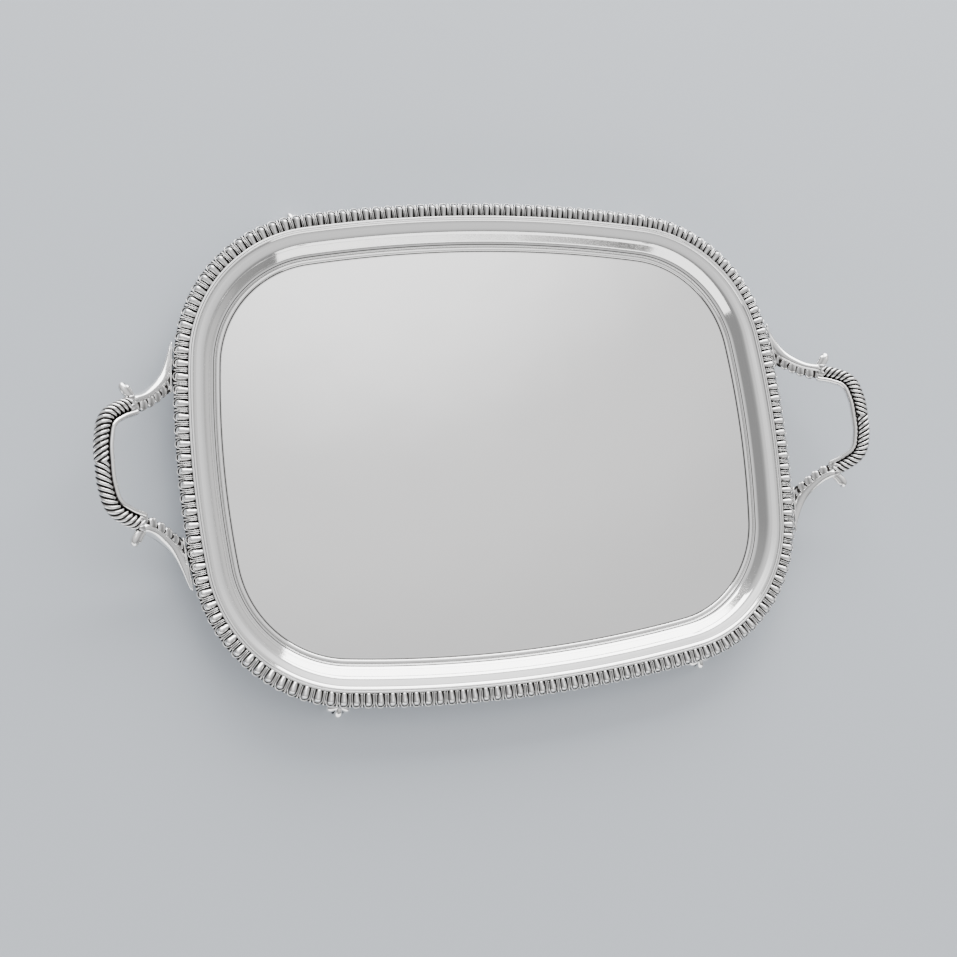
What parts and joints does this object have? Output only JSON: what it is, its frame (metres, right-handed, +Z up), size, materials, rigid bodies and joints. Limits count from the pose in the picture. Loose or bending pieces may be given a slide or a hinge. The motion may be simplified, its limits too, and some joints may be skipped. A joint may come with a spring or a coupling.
{
  "type": "two-handled tray",
  "caption": "Rounded oblong metal tray on cast claw feet, with a lobed gadroon border, a flat sunk well and rising loop handles that end in leaf scrolls.",
  "frame": {"origin": "on the floor under the middle of the tray, in the plane of the four feet", "axes": "+Z up, X along the tray from handle to handle, Y across it with the front side at -Y"},
  "size_m": [0.6154, 0.389, 0.067],
  "materials": {
    "tray_silver": "polished",
    "cast_silver": "gloss"
  },
  "bodies": {
    "root": {"tray_body": "tray_silver", "border_front": "cast_silver", "border_back": "cast_silver", "border_left": "cast_silver", "border_right": "cast_silver", "border_front_left": "cast_silver", "border_front_right": "cast_silver", "border_back_left": "cast_silver", "border_back_right": "cast_silver", "handle_left_grip": "cast_silver", "handle_left_liner": "tray_silver", "handle_left_leaf_front": "cast_silver", "handle_left_scroll_front": "cast_silver", "handle_left_leaf_back": "cast_silver", "handle_left_scroll_back": "cast_silver", "handle_right_grip": "cast_silver", "handle_right_liner": "tray_silver", "handle_right_leaf_front": "cast_silver", "handle_right_scroll_front": "cast_silver", "handle_right_leaf_back": "cast_silver", "handle_right_scroll_back": "cast_silver", "foot_front_left": "cast_silver", "foot_plate_front_left": "tray_silver", "foot_front_right": "cast_silver", "foot_plate_front_right": "tray_silver", "foot_back_left": "cast_silver", "foot_plate_back_left": "tray_silver", "foot_back_right": "cast_silver", "foot_plate_back_right": "tray_silver"}
  },
  "joints": []
}
